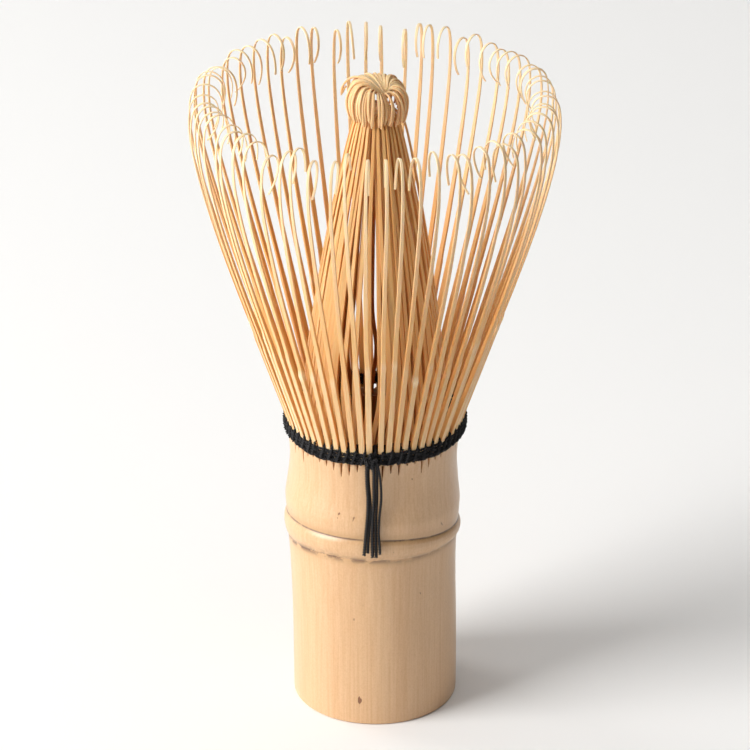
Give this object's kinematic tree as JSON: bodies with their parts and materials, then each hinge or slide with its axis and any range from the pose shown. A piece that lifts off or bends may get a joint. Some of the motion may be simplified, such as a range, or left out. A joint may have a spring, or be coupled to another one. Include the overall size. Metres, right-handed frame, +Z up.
{
  "type": "bamboo tea whisk",
  "caption": "Bamboo tea whisk with a hollow handle, curled springy outer tines round a gathered inner cone, and a woven black thread binding.",
  "frame": {"origin": "centre of the handle's cut foot, on the surface that it stands on", "axes": "+Z up the culm from the foot to the tips, -Y towards the thread's knot and hanging ends"},
  "size_m": [0.057, 0.057, 0.1083],
  "materials": {
    "bamboo_skin": "natural bamboo skin, satin, with fine grain along the culm",
    "bamboo_tines": "pared bamboo splints, matt, smooth on the skin side",
    "black_thread": "black cotton thread, matt"
  },
  "bodies": {
    "culm": {"bamboo_handle": "bamboo_skin", "thread_lower_round": "black_thread", "thread_upper_round": "black_thread", "thread_inner_round": "black_thread", "thread_knot": "black_thread"},
    "outer_splint_01": {"outer_tines_01": "bamboo_tines"},
    "outer_splint_02": {"outer_tines_02": "bamboo_tines"},
    "outer_splint_03": {"outer_tines_03": "bamboo_tines"},
    "outer_splint_04": {"outer_tines_04": "bamboo_tines"},
    "outer_splint_05": {"outer_tines_05": "bamboo_tines"},
    "outer_splint_06": {"outer_tines_06": "bamboo_tines"},
    "outer_splint_07": {"outer_tines_07": "bamboo_tines"},
    "outer_splint_08": {"outer_tines_08": "bamboo_tines"},
    "outer_splint_09": {"outer_tines_09": "bamboo_tines"},
    "outer_splint_10": {"outer_tines_10": "bamboo_tines"},
    "outer_splint_11": {"outer_tines_11": "bamboo_tines"},
    "outer_splint_12": {"outer_tines_12": "bamboo_tines"},
    "outer_splint_13": {"outer_tines_13": "bamboo_tines"},
    "outer_splint_14": {"outer_tines_14": "bamboo_tines"},
    "outer_splint_15": {"outer_tines_15": "bamboo_tines"},
    "outer_splint_16": {"outer_tines_16": "bamboo_tines"},
    "inner_bundle": {"inner_tines_01": "bamboo_tines", "inner_tines_02": "bamboo_tines", "inner_tines_03": "bamboo_tines", "inner_tines_04": "bamboo_tines", "inner_tines_05": "bamboo_tines", "inner_tines_06": "bamboo_tines", "inner_tines_07": "bamboo_tines", "inner_tines_08": "bamboo_tines", "inner_tines_09": "bamboo_tines", "inner_tines_10": "bamboo_tines", "inner_tines_11": "bamboo_tines", "inner_tines_12": "bamboo_tines", "inner_tines_13": "bamboo_tines", "inner_tines_14": "bamboo_tines", "inner_tines_15": "bamboo_tines", "inner_tines_16": "bamboo_tines"},
    "thread_tails": {"thread_tail_1": "black_thread", "thread_tail_2": "black_thread", "thread_tail_3": "black_thread", "thread_tail_4": "black_thread", "thread_tail_5": "black_thread"}
  },
  "joints": [
    {"name": "outer_flex_01", "type": "hinge", "parent": "culm", "child": "outer_splint_01", "pos_m": [0.01334, 0.00265, 0.049], "axis": [-0.1951, 0.9808, 0], "range_deg": [-3, 6], "stiffness_Nm_per_rad": 0.03},
    {"name": "outer_flex_02", "type": "hinge", "parent": "culm", "child": "outer_splint_02", "pos_m": [0.01131, 0.00756, 0.049], "axis": [-0.5556, 0.8315, 0], "range_deg": [-3, 6], "stiffness_Nm_per_rad": 0.03},
    {"name": "outer_flex_03", "type": "hinge", "parent": "culm", "child": "outer_splint_03", "pos_m": [0.00756, 0.01131, 0.049], "axis": [-0.8315, 0.5556, 0], "range_deg": [-3, 6], "stiffness_Nm_per_rad": 0.03},
    {"name": "outer_flex_04", "type": "hinge", "parent": "culm", "child": "outer_splint_04", "pos_m": [0.00265, 0.01334, 0.049], "axis": [-0.9808, 0.1951, 0], "range_deg": [-3, 6], "stiffness_Nm_per_rad": 0.03},
    {"name": "outer_flex_05", "type": "hinge", "parent": "culm", "child": "outer_splint_05", "pos_m": [-0.00265, 0.01334, 0.049], "axis": [-0.9808, -0.1951, 0], "range_deg": [-3, 6], "stiffness_Nm_per_rad": 0.03},
    {"name": "outer_flex_06", "type": "hinge", "parent": "culm", "child": "outer_splint_06", "pos_m": [-0.00756, 0.01131, 0.049], "axis": [-0.8315, -0.5556, 0], "range_deg": [-3, 6], "stiffness_Nm_per_rad": 0.03},
    {"name": "outer_flex_07", "type": "hinge", "parent": "culm", "child": "outer_splint_07", "pos_m": [-0.01131, 0.00756, 0.049], "axis": [-0.5556, -0.8315, 0], "range_deg": [-3, 6], "stiffness_Nm_per_rad": 0.03},
    {"name": "outer_flex_08", "type": "hinge", "parent": "culm", "child": "outer_splint_08", "pos_m": [-0.01334, 0.00265, 0.049], "axis": [-0.1951, -0.9808, 0], "range_deg": [-3, 6], "stiffness_Nm_per_rad": 0.03},
    {"name": "outer_flex_09", "type": "hinge", "parent": "culm", "child": "outer_splint_09", "pos_m": [-0.01334, -0.00265, 0.049], "axis": [0.1951, -0.9808, 0], "range_deg": [-3, 6], "stiffness_Nm_per_rad": 0.03},
    {"name": "outer_flex_10", "type": "hinge", "parent": "culm", "child": "outer_splint_10", "pos_m": [-0.01131, -0.00756, 0.049], "axis": [0.5556, -0.8315, 0], "range_deg": [-3, 6], "stiffness_Nm_per_rad": 0.03},
    {"name": "outer_flex_11", "type": "hinge", "parent": "culm", "child": "outer_splint_11", "pos_m": [-0.00756, -0.01131, 0.049], "axis": [0.8315, -0.5556, 0], "range_deg": [-3, 6], "stiffness_Nm_per_rad": 0.03},
    {"name": "outer_flex_12", "type": "hinge", "parent": "culm", "child": "outer_splint_12", "pos_m": [-0.00265, -0.01334, 0.049], "axis": [0.9808, -0.1951, 0], "range_deg": [-3, 6], "stiffness_Nm_per_rad": 0.03},
    {"name": "outer_flex_13", "type": "hinge", "parent": "culm", "child": "outer_splint_13", "pos_m": [0.00265, -0.01334, 0.049], "axis": [0.9808, 0.1951, 0], "range_deg": [-3, 6], "stiffness_Nm_per_rad": 0.03},
    {"name": "outer_flex_14", "type": "hinge", "parent": "culm", "child": "outer_splint_14", "pos_m": [0.00756, -0.01131, 0.049], "axis": [0.8315, 0.5556, 0], "range_deg": [-3, 6], "stiffness_Nm_per_rad": 0.03},
    {"name": "outer_flex_15", "type": "hinge", "parent": "culm", "child": "outer_splint_15", "pos_m": [0.01131, -0.00756, 0.049], "axis": [0.5556, 0.8315, 0], "range_deg": [-3, 6], "stiffness_Nm_per_rad": 0.03},
    {"name": "outer_flex_16", "type": "hinge", "parent": "culm", "child": "outer_splint_16", "pos_m": [0.01334, -0.00265, 0.049], "axis": [0.1951, 0.9808, 0], "range_deg": [-3, 6], "stiffness_Nm_per_rad": 0.03},
    {"name": "inner_sway", "type": "hinge", "parent": "culm", "child": "inner_bundle", "pos_m": [0, 0, 0.049], "axis": [1, 0, 0], "range_deg": [-3, 3], "stiffness_Nm_per_rad": 0.2},
    {"name": "tails_swing", "type": "hinge", "parent": "culm", "child": "thread_tails", "pos_m": [-0.0006, -0.0151, 0.04765], "axis": [-1, 0, 0], "range_deg": [0, 75]}
  ]
}
